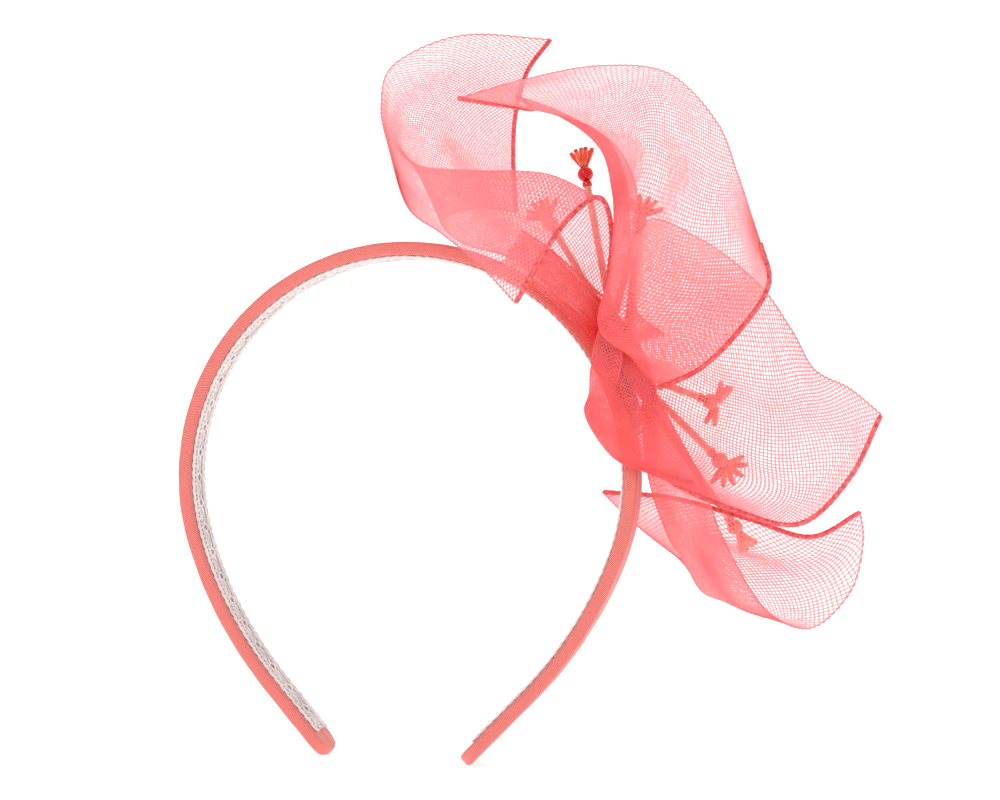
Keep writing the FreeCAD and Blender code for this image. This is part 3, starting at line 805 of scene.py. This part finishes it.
def make_lining(side, body):
    """Openwork cotton braid: looped edges, two raised cords and a chain of ovals."""
    length = BAND_LENGTH - LINING_SHORT
    s = np.arange(0.0, length, 0.3 * MM)
    edge = LINING_W / 2
    wobble = 0.12 * MM * np.sin(s / (6.1 * MM))
    parts = []

    def yarn(y, lift, radius, shift=0.0):
        line = on_lining(np.clip(s + shift, 0, length), y + wobble, lift, side)
        parts.append(sweep(line, 6, radius))

    turn = 2 * math.pi
    loop = s / LACE_LOOP * turn
    ply = s / LACE_CORD_TWIST * turn
    for way in (-1.0, 1.0):
        y_loop = way * (edge - 0.55 * MM + 0.5 * MM * np.cos(loop))
        yarn(y_loop, 0.42 * MM + 0.18 * MM * np.sin(loop), LACE_YARN_R * 1.15,
             0.75 * MM * np.sin(loop))
        y_loop = way * (edge - 1.2 * MM + 0.62 * MM * np.cos(loop + math.pi))
        yarn(y_loop, 0.5 * MM + 0.2 * MM * np.cos(loop), LACE_YARN_R,
             0.5 * MM * np.sin(loop + math.pi))
        for phase in (0.0, math.pi):
            yarn(way * (edge - 2.35 * MM) + 0.2 * MM * np.cos(ply + phase),
                 0.62 * MM + 0.16 * MM * np.sin(ply + phase), LACE_CORD_R)
    chain = s / LACE_OVAL * math.pi
    for phase in (0.0, math.pi):
        yarn(1.35 * MM * np.sin(chain + phase), 0.45 * MM + 0.2 * MM * np.cos(chain * 2 + phase),
             LACE_YARN_R * 1.1)
    ground_s = np.arange(0.0, length, GROUND_STEP)
    ground_y = np.linspace(-edge + 2.1 * MM, edge - 2.1 * MM, GROUND_COLUMNS)
    gs, gy = np.meshgrid(ground_s, ground_y, indexing="ij")
    lift = 0.16 * MM + 0.05 * MM * np.sin(gs / GROUND_STEP + gy / (0.5 * MM))
    points = on_lining(gs.ravel(), gy.ravel(), lift.ravel(), side)
    faces = grid_faces(len(ground_s), GROUND_COLUMNS)
    ground = new_piece("lining_ground_" + body, points, faces, LACE_GROUND, None)
    points, faces = join(parts)
    lace = new_piece("lining_lace_" + body, points, faces, LACE, None)
    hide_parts("lining_braid_" + body)
    return ground, lace, length


for side, body in ((1.0, "trim_side"), (-1.0, "plain_side")):
    cover, cut_width = make_cover(side, body)
    ground, lace, run = make_lining(side, body)
    for piece in (cover, ground, lace):
        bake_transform(piece)


# ---- base, knot and stitches ------------------------------------------------------

OUT = np.array([math.cos(BASE_ANGLE), 0, math.sin(BASE_ANGLE)])
ALONG = np.array([-math.sin(BASE_ANGLE), 0, math.cos(BASE_ANGLE)])


def make_base():
    """Oval of wool felt bent over the band, soft at its edge."""
    rings, count = 22, 96
    points = []
    for face in (1, -1):
        for ring in range(rings + 1):
            f = ring / rings
            soft = math.sqrt(max(0.0, 1 - max(0.0, (f - 0.93) / 0.07) ** 2))
            for k in range(count):
                a = k * 2 * math.pi / count
                x = BASE_HALF_LENGTH * f * math.cos(a)
                y = BASE_SHIFT + BASE_HALF_WIDTH * f * math.sin(a)
                height = BASE_T / 2 + face * soft * (BASE_T / 2 - 0.05 * MM)
                height += FELT_PUCKER * math.sin(x * 2100) * math.sin(y * 2600) * soft
                turn = x / (CROWN_R + height)
                out = OUT * math.cos(turn) + ALONG * math.sin(turn)
                points.append(out * (CROWN_R + 0.05 * MM + height) + np.array([0, y, 0]))
    faces = []
    half = (rings + 1) * count
    for top in (0, 1):
        for ring in range(rings):
            for k in range(count):
                a = top * half + ring * count + k
                b = top * half + ring * count + (k + 1) % count
                quad = [a, b, b + count, a + count]
                faces.append(quad if top == 0 else quad[::-1])
    last = rings * count
    for k in range(count):
        n = (k + 1) % count
        faces.append([last + k, last + n, half + last + n, half + last + k])
    piece = new_piece("felt_base", np.array(points), faces, FELT, "trim_side")
    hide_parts("base_felt")


def knot_point(along, across, size, pleat):
    """A point on the gathered lump; along and across are angles from its middle."""
    x = KNOT_HALF[0] * size * np.sin(along)
    y = KNOT_HALF[1] * size * np.cos(along) * np.sin(across)
    z = KNOT_HALF[2] * size * np.cos(along) * np.cos(across) + pleat
    spot = (OUT * (KNOT_RADIUS + z)[..., None] + ALONG * x[..., None]
            + np.array([0, 1.0, 0]) * (BASE_SHIFT + y)[..., None])
    floor = CROWN_R + BASE_T + 0.05 * MM
    grow = np.maximum(1.0, floor / np.hypot(spot[..., 0], spot[..., 2]))
    return spot * np.stack([grow, np.ones_like(grow), grow], -1)


def make_knot():
    """Gathered ends of the strips: pleated net over a packed core."""
    along, across = np.meshgrid(np.linspace(-1.5, 1.5, 40), np.linspace(-1.57, 1.57, 60),
                                indexing="ij")
    fold = CORE_PLEAT * np.sin(21 * across + 1.5 * np.sin(2 * along))
    core = knot_point(along, across, KNOT_CORE, fold)
    faces = grid_faces(*along.shape)
    piece = new_piece("gathered_core", core.reshape(-1, 3), faces, GATHER, "trim_side")
    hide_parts("gather_knot")
    parts = []
    for size, phase in KNOT_NETS:
        along, across = np.meshgrid(np.linspace(-1.45, 1.45, 18), np.linspace(-1.57, 1.57, 34),
                                    indexing="ij")
        fold = NET_PLEAT * np.sin(15 * across + phase + 2 * np.sin(2 * along + phase))
        parts += net(Strip(knot_point(along, across, size, fold) / MM))
    for depth in FAN_DEPTHS:
        parts += net(Strip(pleated(ROOT_FAN, depth)))
    points, faces = join(parts)
    piece = new_piece("gathered_net", points, faces, GATHER, "trim_side")
    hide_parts("gather_knot")
    wraps = []
    for size in KNOT_WRAPS:
        a = np.linspace(0, 2 * math.pi, 61)
        up = math.sqrt(1 - size ** 2) * KNOT_HALF[2] * 0.98
        loop = (OUT * (KNOT_RADIUS + up) + ALONG * (KNOT_HALF[0] * size * np.cos(a))[:, None]
                + np.array([0, 1.0, 0]) * (BASE_SHIFT + KNOT_HALF[1] * size * np.sin(a))[:, None])
        wraps.append(sweep(loop, 5, WRAP_THREAD_R))
    points, faces = join(wraps)
    new_piece("root_wraps", points, faces, THREAD, "trim_side")


def pleated(rows, depth):
    """Rows in millimetres with small pleats between their points, moved back by depth."""
    rows = np.array(rows, float)
    fine = np.stack([curve_points(row, np.linspace(0, 1, 15)) for row in rows])
    fine[:, :, 1] += depth + 0.5 * (np.arange(15) % 2) * np.linspace(1, 0.3, len(rows))[:, None]
    return fine


def make_stitches():
    """Two-ply thread over the base at each anchor point."""
    y_side = BAND_W / 2 + 0.35 * MM
    low = CROWN_R - 1.5 * MM
    high = CROWN_R + BASE_T + 0.4 * MM
    for number, degrees in enumerate(STITCH_ANGLES, 1):
        a = math.radians(degrees)
        out = np.array([math.cos(a), 0, math.sin(a)])
        row = [(low, -y_side), (high - 1.6 * MM, -y_side), (high - 0.35 * MM, -y_side + 0.35 * MM),
               (high, -y_side + 1.6 * MM), (high, 0.0), (high, y_side - 1.6 * MM),
               (high - 0.35 * MM, y_side - 0.35 * MM), (high - 1.6 * MM, y_side), (low, y_side)]
        line = curve_points(np.array([out * r + np.array([0, y, 0]) for r, y in row]),
                            np.linspace(0, 1, 160))
        tangent = np.gradient(line, axis=0)
        tangent /= np.linalg.norm(tangent, axis=1, keepdims=True)
        along = np.array([-out[2], 0, out[0]])
        second = np.cross(tangent, along)
        twist = np.linspace(0, 2 * STITCH_TURNS * math.pi, 160)[:, None]
        parts = []
        for phase in (0.0, math.pi):
            around = along * np.cos(twist + phase) + second * np.sin(twist + phase)
            parts.append(sweep(line + around * 0.15 * MM, 6, STITCH_PLY_R))
        points, faces = join(parts)
        piece = new_piece("anchor_thread_%d" % number, points, faces, THREAD, "trim_side")
        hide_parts("stitch_%d" % number)


make_base()
make_knot()
make_stitches()


# ---- stamens --------------------------------------------------------------------

def bugle(start, way, length, radius, bore, segments=18):
    """Glass tube with rounded ends and a hole through it."""
    lip = radius * 0.22
    profile = [(bore, lip), (bore + lip * 0.4, 0.0), (radius - lip, 0.0), (radius, lip),
               (radius, length - lip), (radius - lip, length), (bore + lip * 0.4, length),
               (bore, length - lip)]
    way = Vector(way).normalized()
    one = way.orthogonal().normalized()
    two = way.cross(one)
    points, faces = [], []
    for k in range(segments):
        a = k * 2 * math.pi / segments
        radial = one * math.cos(a) + two * math.sin(a)
        points += [list(Vector(start) + radial * r + way * z) for r, z in profile]
    m = len(profile)
    for k in range(segments):
        for j in range(m):
            a, b = k * m + j, k * m + (j + 1) % m
            c, d = ((k + 1) % segments) * m + (j + 1) % m, ((k + 1) % segments) * m + j
            faces.append([a, b, c, d])
    return np.array(points), faces


def make_fan(number, root, head):
    """Bugles strung fanwise in two tints, each kept on by a small seed bead."""
    root, head = Vector(root) * MM, Vector(head) * MM
    axis = (head - root).normalized()
    across = axis.cross(Vector((0, 1, 0))).normalized()
    deep = axis.cross(across)
    centre = head + axis * (BEAD_R - 0.3 * MM)
    body = "stamen_%d" % number
    tints = ([], [])
    for k, degrees in enumerate(FAN_SPREADS[number - 1]):
        a = math.radians(degrees)
        way = axis * math.cos(a) + across * math.sin(a) + deep * (0.12 if k % 2 else -0.12)
        way.normalize()
        first = centre + way * (0.6 * MM)
        length = FAN_LENGTH - 0.9 * MM - (0.5 * MM if k % 2 else 0.0)
        tints[k % 2].append(bugle(first, way, length, FAN_BEAD_R * 0.93, BUGLE_BORE))
        tip = first + way * (length + 0.05 * MM)
        seed = bugle(tip, way, SEED_LENGTH, FAN_BEAD_R * 0.7, SEED_BORE, 14)
        tints[(k + 1) % 2].append(seed)
    for mat, label, slot_name, parts in ((GLASS_ORANGE, "orange", "glass_orange", tints[0]),
                                         (GLASS_AMBER, "amber", "glass_clear", tints[1])):
        points, faces = join(parts)
        piece = new_piece(body + "_bugles_" + label, points, faces, mat, body)
        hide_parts(body + "_fan")


for index, (root_point, head_point) in enumerate(STAMENS, 1):
    make_fan(index, root_point, head_point)

# Pieces that keep their CAD shape, by a mark in the node's name; the first that fits counts.
KEPT = {"_wire": WIRE, "_stem": GLASS_CLEAR, "stamen_1_collar": GLASS_RED,
        "stamen_1_bead": GLASS_RED, "_collar": GLASS_CORAL, "_bead": GLASS_CORAL,
        "band_core": PLASTIC}
for name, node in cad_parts.items():
    if node.hide_render:
        continue
    mat = next(mat for mark, mat in KEPT.items() if mark in name)
    node.data.materials.clear()
    node.data.materials.append(mat)


# ---- stage, light and camera --------------------------------------------------------

def make_stage():
    """Pale floor that curves up into a backdrop."""
    floor_z = cad_box[0].z
    front, turn_at, bend, height, half = -1.6, 0.5, 0.5, 2.6, 2.4
    profile = [(front, 0.0), (turn_at, 0.0)]
    for step in range(1, 13):
        a = step * math.pi / 24
        profile.append((turn_at + bend * math.sin(a), bend - bend * math.cos(a)))
    profile.append((turn_at + bend, height))
    points = []
    for x in (-half, half):
        points += [(x, y, floor_z + z) for y, z in profile]
    n = len(profile)
    faces = [[k, k + n, k + n + 1, k + 1] for k in range(n - 1)]
    mesh = bpy.data.meshes.new("sweep_floor")
    mesh.from_pydata(points, [], faces)
    mesh.polygons.foreach_set("use_smooth", [True] * len(mesh.polygons))
    mat, tree, shader = new_material("studio_paper", 0.9, 0.1)
    paper = noise(tree, position(tree), 6.0, 2.0)
    tree.links.new(ramp(tree, paper, (0.0, (0.93, 0.93, 0.93)), (1.0, (0.96, 0.96, 0.96))),
                   shader.inputs["Base Color"])
    shader.inputs["Emission Color"].default_value = (1, 1, 1, 1)
    shader.inputs["Emission Strength"].default_value = 0.5
    mesh.materials.append(mat)
    stage = bpy.data.objects.new("sweep_floor", mesh)
    bpy.context.scene.collection.objects.link(stage)


def soft_light(name, place, size, power):
    """Square area light aimed at the part."""
    aim = (0.03, 0, 0.02)
    light = bpy.data.lights.new(name, "AREA")
    light.shape = "SQUARE"
    light.size = size
    light.energy = power
    lamp = bpy.data.objects.new(name, light)
    lamp.location = place
    lamp.rotation_euler = (Vector(aim) - Vector(place)).to_track_quat("-Z", "Y").to_euler()
    bpy.context.scene.collection.objects.link(lamp)


make_stage()
soft_light("key", (-0.75, -1.15, 0.95), 0.9, 8.0)
soft_light("fill", (1.05, -1.0, 0.35), 1.0, 4.0)
soft_light("top", (0.1, 0.15, 1.4), 1.0, 3.0)
world = bpy.data.worlds.new("studio")
bpy.context.scene.world = world
world.use_nodes = True
world.node_tree.nodes["Background"].inputs[0].default_value = (1, 1, 1, 1)
world.node_tree.nodes["Background"].inputs[1].default_value = 0.5
bpy.context.scene.view_settings.view_transform = "Standard"

AZIMUTH = math.radians(11.0)
ROLL = math.radians(2.1)
DISTANCE = 0.6
LENS = 74.8
TARGET = Vector((26.6, 0, 23.2)) * MM
right = Vector((math.cos(AZIMUTH), math.sin(AZIMUTH), 0))
back = Vector((math.sin(AZIMUTH), -math.cos(AZIMUTH), 0))
up = Vector((0, 0, 1))
x_axis = right * math.cos(ROLL) + up * math.sin(ROLL)
y_axis = up * math.cos(ROLL) - right * math.sin(ROLL)
camera_data = bpy.data.cameras.new("camera")
camera_data.lens = LENS
camera_data.sensor_width = 36.0
camera = bpy.data.objects.new("camera", camera_data)
turn = Matrix((x_axis, y_axis, back)).transposed().to_4x4()
camera.matrix_world = Matrix.Translation(TARGET + back * DISTANCE) @ turn
bpy.context.scene.collection.objects.link(camera)
bpy.context.scene.camera = camera
